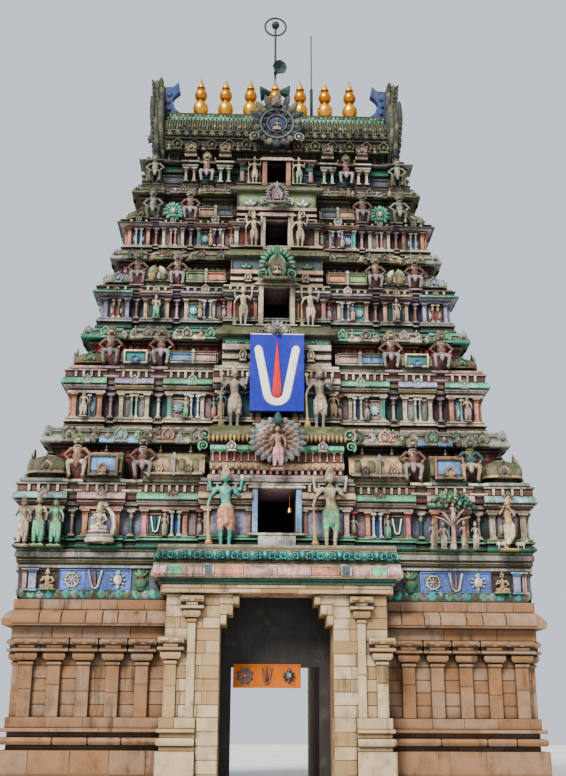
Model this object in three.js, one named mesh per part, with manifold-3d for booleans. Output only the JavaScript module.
// Gopuram: a South Indian temple gate tower with a granite base, five stuccoed tiers and a barrel roof.
// Millimetres, +Z up, front towards -Y, origin on the ground under the middle of the tower.
import * as THREE from 'three';
import { mergeVertices } from 'three/addons/utils/BufferGeometryUtils.js';
import Module from 'manifold-3d';

const wasm = await Module();
wasm.setup();

// Driving dimensions of the base storey
const BASE_HALF_WIDTH = 5550;
const BASE_HALF_DEPTH = 4200;
const PASSAGE_HALF_WIDTH = 1200;
const PLINTH_TOP = 1670;
const PILASTER_TOP = 3290;
const ARCHITRAVE_TOP = 3550;
const STONE_EAVES_TOP = 3900;
const STONE_TOP = 4290;
const LEDGE_TOP = 5220;
const CEILING_HALF_WIDTH = 1700;

// Pilasters of the base storey, by their middles
const PILASTER_HALF = 135;
const PILASTER_PROUD = 110;
const FRONT_PILASTERS = [2870, 3495, 4120, 4745, 5340];
const SIDE_PILASTERS = [-3990, -2660, -1330, 0, 1330, 2660, 3990];
// Cushion, plank and bracket of a capital: top and bottom under the pilaster's top, how far each
// spreads beyond the shaft, and how far each stands out
const CAPITAL = [[450, 280, 70, 50], [280, 220, 145, 100], [220, 0, 150, 60]];

// Mouldings of the base, from the bottom up: height, and how far they stand out from the wall
const PLINTH_PROFILE = [
  [0, 330], [520, 330], [520, 250], [1010, 230], [1010, 90], [1110, 90], [1150, 200], [1230, 200],
  [1270, 90], [1370, 90], [1370, 220], [1450, 220], [1450, 130], [PLINTH_TOP, 130],
];
const WALL_PROFILE = [
  [PLINTH_TOP, 0], [PILASTER_TOP, 0], [PILASTER_TOP, 130], [ARCHITRAVE_TOP, 130],
  [ARCHITRAVE_TOP, 330], [3680, 350], [3820, 230], [STONE_EAVES_TOP, 120], [4120, 140],
  [4120, 90], [STONE_TOP, 60],
];
const FRIEZE_PROFILE = [
  [STONE_TOP, 80], [4790, 80], [4790, 130], [4950, 130], [4950, 170], [LEDGE_TOP, 150],
];

// Driving dimensions of the gate porches at the front and the back
const PORCH_HALF_WIDTH = 2350;
const PORCH_DEPTH = 700;
const PORCH_OVERHANG = 330;
const PORCH_LINTEL = 4200;
const PORCH_PROFILE = [
  [PORCH_LINTEL, 130], [4390, 130], [4390, 180], [4510, 180], [4530, PORCH_OVERHANG],
  [4640, PORCH_OVERHANG], [4780, 260], [4850, 160], [4950, 150], [5100, 220], [LEDGE_TOP, 200],
];
const CORBEL_REACH = 400;
const CORBEL_BOTTOM = 3540;
const CORBEL_STEPS = 3;
const PIER_STRIPS = [{ x: 1800, half: 85, top: 4150 }, { x: 2220, half: 115, top: PILASTER_TOP }];
const PIER_STRIP_PROUD = 60;
// The plinth's mouldings run on round the outer half of a pier, where they stand out less
const PIER_PLINTH_INNER = 1680;
const PIER_PLINTH_SHARE = 0.5;
const PIER_PLINTH_BACK = 4540;

// Driving dimensions of the wooden frame in the passage
const FRAME_FRONT = -3800;
const FRAME_THICKNESS = 250;
const FRAME_POST_WIDTH = 230;
const FRAME_HEAD_BOTTOM = 2740;
const BOARD_BOTTOM = 2300;
const BOARD_TOP = 2800;
const BOARD_THICKNESS = 60;
const BOARD_LEFT = -920;
const BOARD_RIGHT = 560;

// Bays of a face from the middle outwards, as shares of its half width: where each begins and ends
const FRONT_BAYS = [[0.29, 0.535], [0.62, 0.77]];
const SIDE_BAYS = [[0.48, 0.66]];
const TOP_FRONT_BAYS = [[0.36, 0.45], [0.63, 0.72]];
const TOP_SIDE_BAYS = [];
const CORNER_BAY = 0.15;
const TOP_CORNER_BAY = 0.1;
const CENTRE_BAY = 0.29;
const SIDE_CENTRE_BAY = 0.36;
const CORNICE_OUT = 170;
const BAY_RECESS = 0.022;
const CENTRE_PROJECTION = 0.03;
const BAY_SPREAD = 0.02;

// The block over each window rises past the shrine roofs and carries eaves of its own
const HEAD_BLOCK = 0.27;
const HEAD_BLOCK_BACK = 60;
const HEAD_EAVES_OUT = 170;

// Driving dimensions of the tiers: half sizes of the wall, heights above ground, and the step back above
const TIERS = [
  {
    name: 'tier_1', halfWidth: 5650, halfDepth: 4250, floor: 5220, baseTop: 5520, wallTop: 6110,
    corniceTop: 6810, roofTop: 7440, recessTop: 7710, eavesTop: 8120, step: 450, baseOut: 120,
    openingHalfWidth: 425, openingBottom: 5600, openingTop: 6550,
  },
  {
    name: 'tier_2', halfWidth: 4900, halfDepth: 3450, floor: 8120, baseTop: 8480, wallTop: 9080,
    corniceTop: 9770, roofTop: 10210, recessTop: 10540, eavesTop: 10880, step: 350, baseOut: 120,
    openingHalfWidth: 370, openingBottom: 8350, openingTop: 9500,
  },
  {
    name: 'tier_3', halfWidth: 4350, halfDepth: 2950, floor: 10880, baseTop: 11220, wallTop: 11740,
    corniceTop: 12100, roofTop: 12570, recessTop: 12890, eavesTop: 13190, step: 330, baseOut: 110,
    openingHalfWidth: 330, openingBottom: 11050, openingTop: 12050,
  },
  {
    name: 'tier_4', halfWidth: 3900, halfDepth: 2500, floor: 13190, baseTop: 13430, wallTop: 13950,
    corniceTop: 14160, roofTop: 14590, recessTop: 15020, eavesTop: 15270, step: 300, baseOut: 100,
    openingHalfWidth: 290, openingBottom: 13350, openingTop: 14200,
  },
  {
    name: 'tier_5', halfWidth: 3480, halfDepth: 2030, floor: 15270, baseTop: 15530, wallTop: 16120,
    corniceTop: 16210, roofTop: 16210, recessTop: 16210, eavesTop: 16370, step: 180, baseOut: 250,
    openingHalfWidth: 255, openingBottom: 15400, openingTop: 16120,
  },
];
const WALL_THICKNESS = 600;
const SPLIT_TIERS = 3;
TIERS.forEach((tier, index) => {
  const top = index === TIERS.length - 1;
  tier.frontBays = top ? TOP_FRONT_BAYS : FRONT_BAYS;
  tier.sideBays = top ? TOP_SIDE_BAYS : SIDE_BAYS;
  tier.cornerBay = top ? TOP_CORNER_BAY : CORNER_BAY;
});

// Driving dimensions of the barrel roof and what stands on it
const ROOF_BOTTOM = 16370;
const ROOF_TOP = 18370;
const ROOF_HALF_LENGTH = 3380;
const ROOF_HALF_DEPTH = 1780;
const ROOF_BULGE = 1.06;
const RIDGE_HALF_DEPTH = 230;
const RIDGE_TOP = 18910;
const GABLE_THICKNESS = 260;
const GABLE_TOP = 19900;
const GABLE_LEAN = 0.083;
const GABLE_NECK_HALF = 220;
const GABLE_TIP_HALF = 130;
const FAN_HALF_WIDTH = 750;
const FAN_CENTRE = 17450;
const FAN_TOP = 18560;
const FAN_THICKNESS = 320;
const FAN_BACK = 900;
const FAN_FOOT_ANGLE = 0.64;
const FAN_TIP_ANGLE = 1.32;
const FINIAL_COUNT = 7;
const FINIAL_PITCH = 750;
const FINIAL_HEIGHT = 1250;
const FINIAL_RADIUS = 210;

// Driving dimensions of the lamp pole, the lightning rod and the signboard
const POLE_RADIUS = 32;
const POLE_Y = 430;
const RING_HEIGHT = 22500;
const RING_RADIUS = 330;
const RING_BAR = 30;
const LAMP_RADIUS = 130;
const SPEAKERS = [[-0.4 * Math.PI, 20800], [0, 20150], [Math.PI, 20100]];
const ROD_X = 1120;
const SEAT_FRONT = 160;
const SEAT_BACK = 560;
const SEAT_DROP = 700;
const ROD_POST_TOP = 20250;
const ROD_TOP = 22200;
const SIGN_HALF_WIDTH = 650;
const SIGN_BOTTOM = 8700;
const SIGN_TOP = 10860;
const SIGN_THICKNESS = 70;

const SEAT = 0.3;
const FAR = 20000;

// A closed three.js mesh becomes a solid that can be joined and cut
function solidOf(geometry) {
  const bare = geometry.clone();
  bare.deleteAttribute('normal');
  bare.deleteAttribute('uv');
  const merged = mergeVertices(bare, 1e-3);
  return new wasm.Manifold(new wasm.Mesh({
    numProp: 3,
    vertProperties: new Float32Array(merged.attributes.position.array),
    triVerts: new Uint32Array(merged.index.array),
  }));
}

function geometryOf(solid) {
  const mesh = solid.getMesh();
  const geometry = new THREE.BufferGeometry();
  geometry.setAttribute('position', new THREE.BufferAttribute(new Float32Array(mesh.vertProperties), 3));
  geometry.setIndex(new THREE.BufferAttribute(new Uint32Array(mesh.triVerts), 1));
  geometry.computeVertexNormals();
  return geometry;
}

function block(x0, x1, y0, y1, z0, z1) {
  const geometry = new THREE.BoxGeometry(x1 - x0, y1 - y0, z1 - z0);
  geometry.translate((x0 + x1) / 2, (y0 + y1) / 2, (z0 + z1) / 2);
  return solidOf(geometry);
}

function join(solids) {
  return solids.reduce((whole, next) => whole.add(next));
}

// Rings are closed outlines of one point count, seen from above anticlockwise, from the bottom up
function loft(rings) {
  const count = rings[0].points.length;
  const positions = [];
  for (const ring of rings) {
    for (const point of ring.points) {
      positions.push(point[0], point[1], ring.z);
    }
  }
  const indices = [];
  for (let level = 0; level < rings.length - 1; level += 1) {
    for (let i = 0; i < count; i += 1) {
      const a = level * count + i;
      const b = level * count + ((i + 1) % count);
      indices.push(a, b, b + count, a, b + count, a + count);
    }
  }
  const contour = rings[0].points.map((point) => new THREE.Vector2(point[0], point[1]));
  const top = (rings.length - 1) * count;
  for (const face of THREE.ShapeUtils.triangulateShape(contour, [])) {
    indices.push(face[2], face[1], face[0]);
  }
  const lastContour = rings[rings.length - 1].points.map((point) => new THREE.Vector2(point[0], point[1]));
  for (const face of THREE.ShapeUtils.triangulateShape(lastContour, [])) {
    indices.push(top + face[0], top + face[1], top + face[2]);
  }
  const geometry = new THREE.BufferGeometry();
  geometry.setAttribute('position', new THREE.Float32BufferAttribute(positions, 3));
  geometry.setIndex(indices);
  return solidOf(geometry);
}

function rectangle(x0, x1, y0, y1) {
  return [[x0, y0], [x1, y0], [x1, y1], [x0, y1]];
}

// One half of a face from its middle to its corner: the bays stand proud of the wall between them
function faceHalf(half, face, bays, centreShare, cornerInner, spread, recess, proud) {
  let edge = centreShare * half + spread;
  const points = [[edge, face + proud]];
  for (const [inner, outer] of bays) {
    const from = inner * half - spread;
    if (from > edge) {
      points.push([edge, face - recess], [from, face - recess], [from, face]);
    } else {
      points.push([edge, face]);
    }
    edge = outer * half + spread;
    points.push([edge, face]);
  }
  points.push([edge, face - recess], [cornerInner, face - recess], [cornerInner, face]);
  return points;
}

// The plan of a tier, with everything moved out by the given distance
function bayOutline(tier, inset, out) {
  const halfX = tier.halfWidth - inset;
  const halfY = tier.halfDepth - inset;
  const spread = Math.min(0.6 * out, BAY_SPREAD * halfX);
  const recess = BAY_RECESS * halfX;
  const proud = CENTRE_PROJECTION * halfX;
  const corner = tier.cornerBay * halfX + spread;
  const front = faceHalf(
    halfX, halfY + out, tier.frontBays, CENTRE_BAY, halfX - corner, spread, recess, proud,
  );
  const side = faceHalf(
    halfY, halfX + out, tier.sideBays, SIDE_CENTRE_BAY, halfY - corner, spread, recess, proud,
  );
  const sideTurned = side.map(([along, face]) => [face, along]).reverse();
  const quarter = [...front, [halfX + out, halfY + out], ...sideTurned];
  const frontRight = quarter.map(([x, y]) => [x, -y]);
  const backRight = quarter.map(([x, y]) => [x, y]).reverse();
  const backLeft = quarter.map(([x, y]) => [-x, y]);
  const frontLeft = quarter.map(([x, y]) => [-x, -y]).reverse();
  return [...frontRight, ...backRight, ...backLeft, ...frontLeft];
}

function bayStack(tier, inset, profile) {
  return loft(profile.map(([z, out]) => ({ z, points: bayOutline(tier, inset, out) })));
}

// The domed roof of a corner shrine, square with cut corners
function cornerDome(x, y, half, z0, z1) {
  const height = z1 - z0;
  const profile = [
    [0, 0.8], [0.22, 0.8], [0.22, 1.08], [0.4, 1.02], [0.66, 0.86], [0.86, 0.5], [1, 0.16],
  ];
  const cut = 0.55;
  const octagon = [
    [cut, -1], [1, -cut], [1, cut], [cut, 1], [-cut, 1], [-1, cut], [-1, -cut], [-cut, -1],
  ];
  const rings = profile.map(([share, reach]) => ({
    z: z0 + share * height,
    points: octagon.map(([px, py]) => [x + px * half * reach, y + py * half * reach]),
  }));
  return loft(rings);
}

// The barrel roof of an oblong shrine, with its ridge along X
function barrel(x, y, halfLength, halfDepth, z0, z1) {
  const height = z1 - z0;
  const section = [
    [0, 0.84], [0.2, 0.84], [0.2, 1.1], [0.5, 1.02], [0.78, 0.7], [1, 0.14],
  ];
  const rings = section.map(([share, reach]) => ({
    z: z0 + share * height,
    points: rectangle(
      x - halfLength * (1 - 0.1 * share), x + halfLength * (1 - 0.1 * share),
      y - halfDepth * reach, y + halfDepth * reach,
    ),
  }));
  return loft(rings);
}

// The small roofs over the bays of one tier, on all four sides
function shrineRoofs(tier) {
  const { halfWidth, halfDepth, corniceTop, roofTop, step, cornerBay } = tier;
  const depth = step / 2 + 130;
  const rowY = halfDepth - step / 2 + 20;
  const rowX = halfWidth - step / 2 + 20;
  const cornerHalf = cornerBay * halfWidth / 2;
  const alongFront = ([inner, outer]) => {
    const half = (outer - inner) * halfWidth / 2;
    return barrel((outer + inner) * halfWidth / 2, rowY, half, depth, corniceTop, roofTop);
  };
  const alongSide = (middle, half) => {
    const roof = barrel(middle, -rowX, half, depth, corniceTop, roofTop);
    return roof.rotate([0, 0, 90]);
  };
  const sideRoofs = tier.sideBays.map(([inner, outer]) => (
    alongSide((outer + inner) * halfDepth / 2, (outer - inner) * halfDepth / 2)
  ));
  const quarter = [
    cornerDome(halfWidth - cornerHalf, halfDepth - cornerHalf, cornerHalf, corniceTop, roofTop),
    ...tier.frontBays.map(alongFront),
    ...sideRoofs,
  ];
  const half = [...quarter, ...quarter.map((roof) => roof.mirror([1, 0, 0]))];
  const middleRoof = alongSide(0, SIDE_CENTRE_BAY * halfDepth);
  return [
    ...half,
    ...half.map((roof) => roof.mirror([0, 1, 0])),
    middleRoof,
    middleRoof.mirror([1, 0, 0]),
  ];
}

// The block over the window at the front and the back, as a pair; the profile is height and how far out
function headBlocks(tier, profile) {
  const { halfWidth, halfDepth, step } = tier;
  const face = halfDepth + CENTRE_PROJECTION * halfWidth - HEAD_BLOCK_BACK;
  const back = halfDepth - step - HEAD_BLOCK_BACK;
  const rings = profile.map(([z, out]) => ({
    z,
    points: rectangle(-HEAD_BLOCK * halfWidth - out, HEAD_BLOCK * halfWidth + out, -face - out, -back),
  }));
  const front = loft(rings);
  return [front, front.mirror([0, 1, 0])];
}

function tierBody(tier) {
  const { floor, baseTop, wallTop, corniceTop, recessTop, step, baseOut } = tier;
  const baseHeight = baseTop - floor;
  const corniceHeight = corniceTop - wallTop;
  const lower = bayStack(tier, 0, [
    [floor, baseOut],
    [floor + 0.4 * baseHeight, baseOut],
    [floor + 0.55 * baseHeight, 0.4 * baseOut],
    [baseTop, 0.7 * baseOut],
    [baseTop, 0],
    [wallTop, 0],
    [wallTop + 0.25 * corniceHeight, CORNICE_OUT],
    [wallTop + 0.7 * corniceHeight, 150],
    [corniceTop, 40],
  ]);
  if (recessTop === corniceTop) {
    return lower;
  }
  const upper = bayStack(tier, step, [[wallTop, 0], [recessTop, 0]]);
  const heads = headBlocks(tier, [[corniceTop - HEAD_BLOCK_BACK, 0], [recessTop, 0]]);
  return join([lower, upper, ...shrineRoofs(tier), ...heads]);
}

function innerSize(tier) {
  return {
    x: tier.halfWidth - tier.step - WALL_THICKNESS,
    y: tier.halfDepth - tier.step - WALL_THICKNESS,
  };
}

// One tier without its eaves: hollow, with its window cut through the front and the back
function hollowTier(tier) {
  const inner = innerSize(tier);
  const room = block(-inner.x, inner.x, -inner.y, inner.y, tier.floor - 10, tier.recessTop + 10);
  const window = block(
    -tier.openingHalfWidth, tier.openingHalfWidth, -FAR, FAR, tier.openingBottom, tier.openingTop,
  );
  return tierBody(tier).subtract(room).subtract(window);
}

// The eaves are also the floor of the tier above
function tierEaves(tier) {
  const { corniceTop, recessTop, eavesTop, step } = tier;
  const height = eavesTop - recessTop;
  const ring = bayStack(tier, step, [
    [recessTop, 0],
    [recessTop + 0.2 * height, 190],
    [recessTop + 0.45 * height, 200],
    [recessTop + 0.8 * height, 120],
    [eavesTop, 60],
  ]);
  if (recessTop === corniceTop) {
    return ring;
  }
  const heads = headBlocks(tier, [
    [recessTop, 0],
    [recessTop + 0.15 * height, HEAD_EAVES_OUT],
    [recessTop + 0.45 * height, HEAD_EAVES_OUT],
    [recessTop + 0.9 * height, 0],
  ]);
  return join([ring, ...heads]);
}

const group = new THREE.Group();

function addPiece(name, solid, colour, roughness, metalness = 0) {
  const material = new THREE.MeshStandardMaterial({ color: colour, roughness, metalness });
  const mesh = new THREE.Mesh(geometryOf(solid), material);
  mesh.name = name;
  group.add(mesh);
}

// Colours of the finishes
const GRANITE = 0xb09a7c;
const STUCCO = 0xb8a890;
const EAVES_STUCCO = 0xa9a08c;
const FRIEZE_BLUE = 0x7fa8d8;
const ROOF_OLIVE = 0x4a5245;
const GABLE_BLUE = 0x5b6f86;
const GOLD = 0xc9962c;
const DARK_WOOD = 0x2b2a28;
const BOARD_ORANGE = 0xd9822b;
const SIGN_BLUE = 0x2a3fa8;
const IRON = 0x2f3a3c;

// Base storey: two masses of granite, one on each side of the passage
const pierFront = -BASE_HALF_DEPTH - PORCH_DEPTH;

function baseRing(z, out) {
  return {
    z,
    points: rectangle(
      -BASE_HALF_WIDTH - out, -PASSAGE_HALF_WIDTH, -BASE_HALF_DEPTH - out, BASE_HALF_DEPTH + out,
    ),
  };
}

// The porches take the place of whatever projects behind them
function clearOfPorches(solid) {
  const upperHalf = PORCH_HALF_WIDTH + PORCH_OVERHANG;
  let rest = solid;
  for (const [near, far] of [[-FAR, -BASE_HALF_DEPTH], [BASE_HALF_DEPTH, FAR]]) {
    rest = rest.subtract(block(-PORCH_HALF_WIDTH, PORCH_HALF_WIDTH, near, far, -10, PORCH_LINTEL));
    rest = rest.subtract(block(-upperHalf, upperHalf, near, far, PORCH_LINTEL, LEDGE_TOP + 10));
  }
  return rest;
}

function plinthMass() {
  return clearOfPorches(loft(PLINTH_PROFILE.map(([z, out]) => baseRing(z, out))));
}

// A pilaster on the plinth that stands out towards X or towards Y
function pilaster(x, y, half, proudX, proudY, top) {
  const steps = [[top - PLINTH_TOP, 0, 0, 0], ...CAPITAL];
  return join(steps.map(([below, above, spread, proud]) => {
    const halfX = half + (proudX > 0 ? proudX + proud : spread);
    const halfY = half + (proudY > 0 ? proudY + proud : spread);
    return block(x - halfX, x + halfX, y - halfY, y + halfY, top - below, top - above);
  }));
}

function baseWallMass() {
  const wall = loft(WALL_PROFILE.map(([z, out]) => baseRing(z, out)));
  const half = PILASTER_HALF;
  const pilasters = [];
  for (const x of FRONT_PILASTERS) {
    for (const side of [-1, 1]) {
      const y = side * (BASE_HALF_DEPTH - half);
      pilasters.push(pilaster(-x, y, half, 0, PILASTER_PROUD, PILASTER_TOP));
    }
  }
  for (const y of SIDE_PILASTERS) {
    pilasters.push(pilaster(-BASE_HALF_WIDTH + half, y, half, PILASTER_PROUD, 0, PILASTER_TOP));
  }
  return clearOfPorches(join([wall, ...pilasters]));
}

function friezeMass() {
  const ring = ([z, out]) => ({
    z,
    points: rectangle(
      -BASE_HALF_WIDTH - out, -CEILING_HALF_WIDTH, -BASE_HALF_DEPTH - out, BASE_HALF_DEPTH + out,
    ),
  });
  return clearOfPorches(loft(FRIEZE_PROFILE.map(ring)));
}

for (const [side, flip] of [['left', 1], ['right', -1]]) {
  const turned = (solid) => (flip === 1 ? solid : solid.mirror([1, 0, 0]));
  addPiece(`plinth_${side}`, turned(plinthMass()), GRANITE, 0.9);
  addPiece(`base_wall_${side}`, turned(baseWallMass()), GRANITE, 0.9);
  addPiece(`painted_frieze_${side}`, turned(friezeMass()), FRIEZE_BLUE, 0.7);
}

// Gate piers with stepped corbels that narrow the way under the lintel
function gatePier() {
  const solids = [
    block(-PORCH_HALF_WIDTH, -PASSAGE_HALF_WIDTH, pierFront, -BASE_HALF_DEPTH, 0, PORCH_LINTEL),
  ];
  const rise = (PORCH_LINTEL - CORBEL_BOTTOM) / CORBEL_STEPS;
  for (let step = 0; step < CORBEL_STEPS; step += 1) {
    const reach = CORBEL_REACH * (step + 1) / CORBEL_STEPS;
    solids.push(block(
      -PASSAGE_HALF_WIDTH - 100, -PASSAGE_HALF_WIDTH + reach, pierFront, -BASE_HALF_DEPTH,
      CORBEL_BOTTOM + rise * step, PORCH_LINTEL,
    ));
  }
  for (const { x, half, top } of PIER_STRIPS) {
    solids.push(pilaster(-x, pierFront + half, half, 0, PIER_STRIP_PROUD, top));
  }
  solids.push(loft(PLINTH_PROFILE.map(([z, out]) => {
    const proud = PIER_PLINTH_SHARE * out;
    return {
      z,
      points: rectangle(
        -PORCH_HALF_WIDTH - proud, -PIER_PLINTH_INNER, pierFront - proud, -PIER_PLINTH_BACK,
      ),
    };
  })));
  return join(solids);
}

// The porch lintel, its curved eaves and the lotus band on top
function porchEntablature() {
  const ring = ([z, out]) => ({
    z,
    points: rectangle(
      -PORCH_HALF_WIDTH - out, PORCH_HALF_WIDTH + out, pierFront - out, -BASE_HALF_DEPTH,
    ),
  });
  return loft(PORCH_PROFILE.map(ring));
}

for (const [face, mirrorY] of [['front', false], ['back', true]]) {
  const faced = (solid) => (mirrorY ? solid.mirror([0, 1, 0]) : solid);
  addPiece(`gate_pier_${face}_left`, faced(gatePier()), GRANITE, 0.9);
  addPiece(`gate_pier_${face}_right`, faced(gatePier().mirror([1, 0, 0])), GRANITE, 0.9);
  addPiece(`porch_entablature_${face}`, faced(porchEntablature()), EAVES_STUCCO, 0.8);
}

addPiece('passage_ceiling', block(
  -CEILING_HALF_WIDTH, CEILING_HALF_WIDTH, -BASE_HALF_DEPTH, BASE_HALF_DEPTH, STONE_TOP, LEDGE_TOP,
), GRANITE, 0.9);

// Wooden frame in the passage, with a closed panel over the doorway and a painted board on it
const frameBack = FRAME_FRONT + FRAME_THICKNESS;
const frameSide = PASSAGE_HALF_WIDTH - SEAT;
const doorFrame = block(-frameSide, frameSide, FRAME_FRONT, frameBack, 0, STONE_TOP).subtract(block(
  -frameSide + FRAME_POST_WIDTH, frameSide - FRAME_POST_WIDTH, FRAME_FRONT - 10, frameBack + 10,
  -10, FRAME_HEAD_BOTTOM,
));
addPiece('passage_frame', doorFrame, DARK_WOOD, 0.7);
addPiece('doorway_board', block(
  BOARD_LEFT, BOARD_RIGHT, FRAME_FRONT - BOARD_THICKNESS, FRAME_FRONT, BOARD_BOTTOM, BOARD_TOP,
), BOARD_ORANGE, 0.6);

// Tiers
TIERS.forEach((tier, index) => {
  const walls = hollowTier(tier);
  const inner = innerSize(tier);
  if (index < SPLIT_TIERS) {
    const low = tier.floor - 10;
    const high = tier.recessTop + 10;
    const quarters = {
      front: block(-FAR, FAR, -FAR, -inner.y, low, high),
      back: block(-FAR, FAR, inner.y, FAR, low, high),
      left: block(-FAR, -inner.x, -inner.y, inner.y, low, high),
      right: block(inner.x, FAR, -inner.y, inner.y, low, high),
    };
    for (const [side, quarter] of Object.entries(quarters)) {
      addPiece(`${tier.name}_${side}_wall`, walls.intersect(quarter), STUCCO, 0.85);
    }
  } else {
    addPiece(`${tier.name}_walls`, walls, STUCCO, 0.85);
  }
  addPiece(`${tier.name}_eaves`, tierEaves(tier), EAVES_STUCCO, 0.85);
});

// The roof's ends lean out with the gables: how far an end stands from the middle at a height
function roofEnd(z) {
  return ROOF_HALF_LENGTH - GABLE_LEAN * (GABLE_TOP - z);
}

// Barrel roof: a horseshoe section drawn out along X
const roofHeight = ROOF_TOP - ROOF_BOTTOM;
const roofSection = [
  [0, 0.93], [0.16, 0.93], [0.16, 1.02], [0.34, ROOF_BULGE], [0.55, 1], [0.74, 0.84], [0.9, 0.56], [1, 0.22],
];
const roofRing = (z, halfDepth) => ({ z, points: rectangle(-roofEnd(z), roofEnd(z), -halfDepth, halfDepth) });
const barrelRoof = loft(roofSection.map(([share, reach]) => (
  roofRing(ROOF_BOTTOM + share * roofHeight, ROOF_HALF_DEPTH * reach)
))).add(loft([ROOF_TOP - 200, RIDGE_TOP].map((z) => roofRing(z, RIDGE_HALF_DEPTH))));
addPiece('barrel_roof', barrelRoof, ROOF_OLIVE, 0.9);

// The end gables are horseshoe plates that rise past the ridge to a leaf tip
function gablePlate() {
  const outline = new THREE.Shape();
  const foot = ROOF_HALF_DEPTH * 0.9;
  const belly = ROOF_HALF_DEPTH * 1.25;
  const shoulder = ROOF_HALF_DEPTH * 0.93;
  const throat = ROOF_HALF_DEPTH * 0.57;
  const bellyZ = ROOF_BOTTOM + 0.45 * roofHeight;
  const shoulderZ = ROOF_BOTTOM + 0.78 * roofHeight;
  const neckZ = RIDGE_TOP + 250;
  outline.moveTo(-foot, ROOF_BOTTOM);
  outline.lineTo(foot, ROOF_BOTTOM);
  outline.quadraticCurveTo(belly, bellyZ, shoulder, shoulderZ);
  outline.quadraticCurveTo(throat, RIDGE_TOP, GABLE_NECK_HALF, neckZ);
  outline.lineTo(GABLE_TIP_HALF, GABLE_TOP);
  outline.lineTo(-GABLE_TIP_HALF, GABLE_TOP);
  outline.lineTo(-GABLE_NECK_HALF, neckZ);
  outline.quadraticCurveTo(-throat, RIDGE_TOP, -shoulder, shoulderZ);
  outline.quadraticCurveTo(-belly, bellyZ, -foot, ROOF_BOTTOM);
  const geometry = new THREE.ExtrudeGeometry(
    outline, { depth: GABLE_THICKNESS, bevelEnabled: false, curveSegments: 5 },
  );
  geometry.rotateX(Math.PI / 2);
  geometry.rotateZ(Math.PI / 2);
  geometry.applyMatrix4(new THREE.Matrix4().makeShear(0, 0, 0, 0, GABLE_LEAN, 0));
  return solidOf(geometry);
}

const gableOnRight = gablePlate().translate([roofEnd(0) + SEAT, 0, 0]);
addPiece('roof_gable_right', gableOnRight, GABLE_BLUE, 0.8);
addPiece('roof_gable_left', gableOnRight.mirror([1, 0, 0]), GABLE_BLUE, 0.8);

// Round fans in the middle of the roof's long sides, cut to fit its curve
function roofFan() {
  const footHalf = FAN_HALF_WIDTH * Math.cos(FAN_FOOT_ANGLE);
  const footTop = FAN_CENTRE - FAN_HALF_WIDTH * Math.sin(FAN_FOOT_ANGLE);
  const outline = new THREE.Shape();
  outline.moveTo(-footHalf, ROOF_BOTTOM);
  outline.lineTo(footHalf, ROOF_BOTTOM);
  outline.lineTo(footHalf, footTop);
  outline.absarc(0, FAN_CENTRE, FAN_HALF_WIDTH, -FAN_FOOT_ANGLE, FAN_TIP_ANGLE, false);
  outline.lineTo(0, FAN_TOP);
  outline.absarc(0, FAN_CENTRE, FAN_HALF_WIDTH, Math.PI - FAN_TIP_ANGLE, Math.PI + FAN_FOOT_ANGLE, false);
  const geometry = new THREE.ExtrudeGeometry(
    outline, { depth: FAN_THICKNESS + FAN_BACK, bevelEnabled: false, curveSegments: 6 },
  );
  geometry.rotateX(Math.PI / 2);
  geometry.translate(0, FAN_BACK - ROOF_HALF_DEPTH * ROOF_BULGE, 0);
  return solidOf(geometry).subtract(barrelRoof).translate([0, -SEAT, 0]);
}

const frontFan = roofFan();
addPiece('roof_fan_front', frontFan, GABLE_BLUE, 0.8);
addPiece('roof_fan_back', frontFan.mirror([0, 1, 0]), GABLE_BLUE, 0.8);

// Kalasha finials, turned: foot, bulb, neck rings, lotus cup and spire
function finial() {
  const profile = [
    [0, 0], [0.62, 0], [0.4, 0.09], [0.86, 0.2], [1, 0.32], [0.72, 0.46], [0.34, 0.52], [0.62, 0.6],
    [0.28, 0.68], [0.4, 0.76], [0.14, 0.86], [0, 1],
  ];
  const points = profile.map(([r, h]) => new THREE.Vector2(r * FINIAL_RADIUS, h * FINIAL_HEIGHT));
  const geometry = new THREE.LatheGeometry(points, 8);
  geometry.rotateX(Math.PI / 2);
  return solidOf(geometry);
}

for (let i = 0; i < FINIAL_COUNT; i += 1) {
  const x = (i - (FINIAL_COUNT - 1) / 2) * FINIAL_PITCH;
  addPiece(`finial_${i + 1}`, finial().translate([x, 0, RIDGE_TOP]), GOLD, 0.35, 0.8);
}

function post(x, y, radius, z0, z1, sides = 8) {
  const geometry = new THREE.CylinderGeometry(radius, radius, z1 - z0, sides);
  geometry.rotateX(Math.PI / 2);
  geometry.translate(x, y, (z0 + z1) / 2);
  return solidOf(geometry);
}

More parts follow.
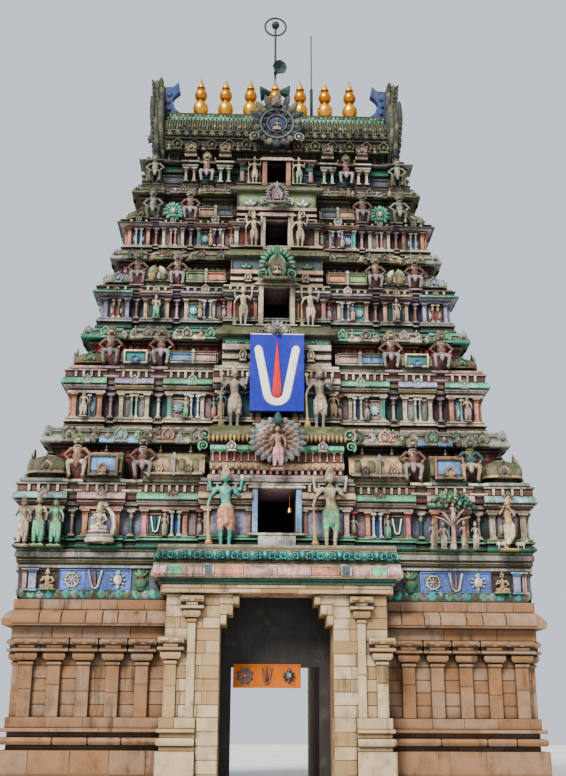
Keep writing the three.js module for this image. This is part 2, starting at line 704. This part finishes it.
// A horn loudspeaker: its mouth looks along the given heading and a little down
function loudspeaker(heading, z) {
  const points = [
    new THREE.Vector2(0, 0), new THREE.Vector2(60, 0), new THREE.Vector2(70, 160),
    new THREE.Vector2(230, 420), new THREE.Vector2(230, 450), new THREE.Vector2(0, 330),
  ];
  const geometry = new THREE.LatheGeometry(points, 8);
  geometry.rotateZ(-Math.PI / 2 - 0.1);
  geometry.rotateX(Math.PI / 2);
  geometry.rotateZ(heading);
  geometry.translate(0, POLE_Y, z);
  return solidOf(geometry);
}

function lampPole() {
  const ring = new THREE.TorusGeometry(RING_RADIUS, RING_BAR, 5, 16);
  ring.rotateX(Math.PI / 2);
  ring.translate(0, POLE_Y, RING_HEIGHT);
  const lamp = new THREE.SphereGeometry(LAMP_RADIUS, 8, 6);
  lamp.translate(0, POLE_Y, RING_HEIGHT + 60);
  return join([
    post(0, POLE_Y, POLE_RADIUS, RIDGE_TOP, RING_HEIGHT),
    solidOf(ring),
    solidOf(lamp),
    ...SPEAKERS.map(([heading, z]) => loudspeaker(heading, z)),
  ]);
}

// A masonry seat behind the ridge, cut to the roof's slope
function ridgeSeat(x, half) {
  const seat = block(x - half, x + half, SEAT_FRONT, SEAT_BACK, RIDGE_TOP - SEAT_DROP, RIDGE_TOP + 20);
  return seat.subtract(barrelRoof).translate([0, SEAT, SEAT]);
}

addPiece('lamp_pole', lampPole().add(ridgeSeat(0, 120)), IRON, 0.6, 0.6);
addPiece('lightning_rod', join([
  ridgeSeat(ROD_X, 90),
  post(ROD_X, POLE_Y, 45, RIDGE_TOP, ROD_POST_TOP),
  post(ROD_X, POLE_Y, 20, ROD_POST_TOP - 10, ROD_TOP, 6),
]), IRON, 0.6, 0.6);

// The signboard hangs in front of the second tier and touches the edge of its cornice
const signTier = TIERS[1];
const signBack = -(signTier.halfDepth + CENTRE_PROJECTION * signTier.halfWidth + CORNICE_OUT + SEAT);
addPiece('signboard', block(
  -SIGN_HALF_WIDTH, SIGN_HALF_WIDTH, signBack - SIGN_THICKNESS, signBack, SIGN_BOTTOM, SIGN_TOP,
), SIGN_BLUE, 0.5);

export default group;
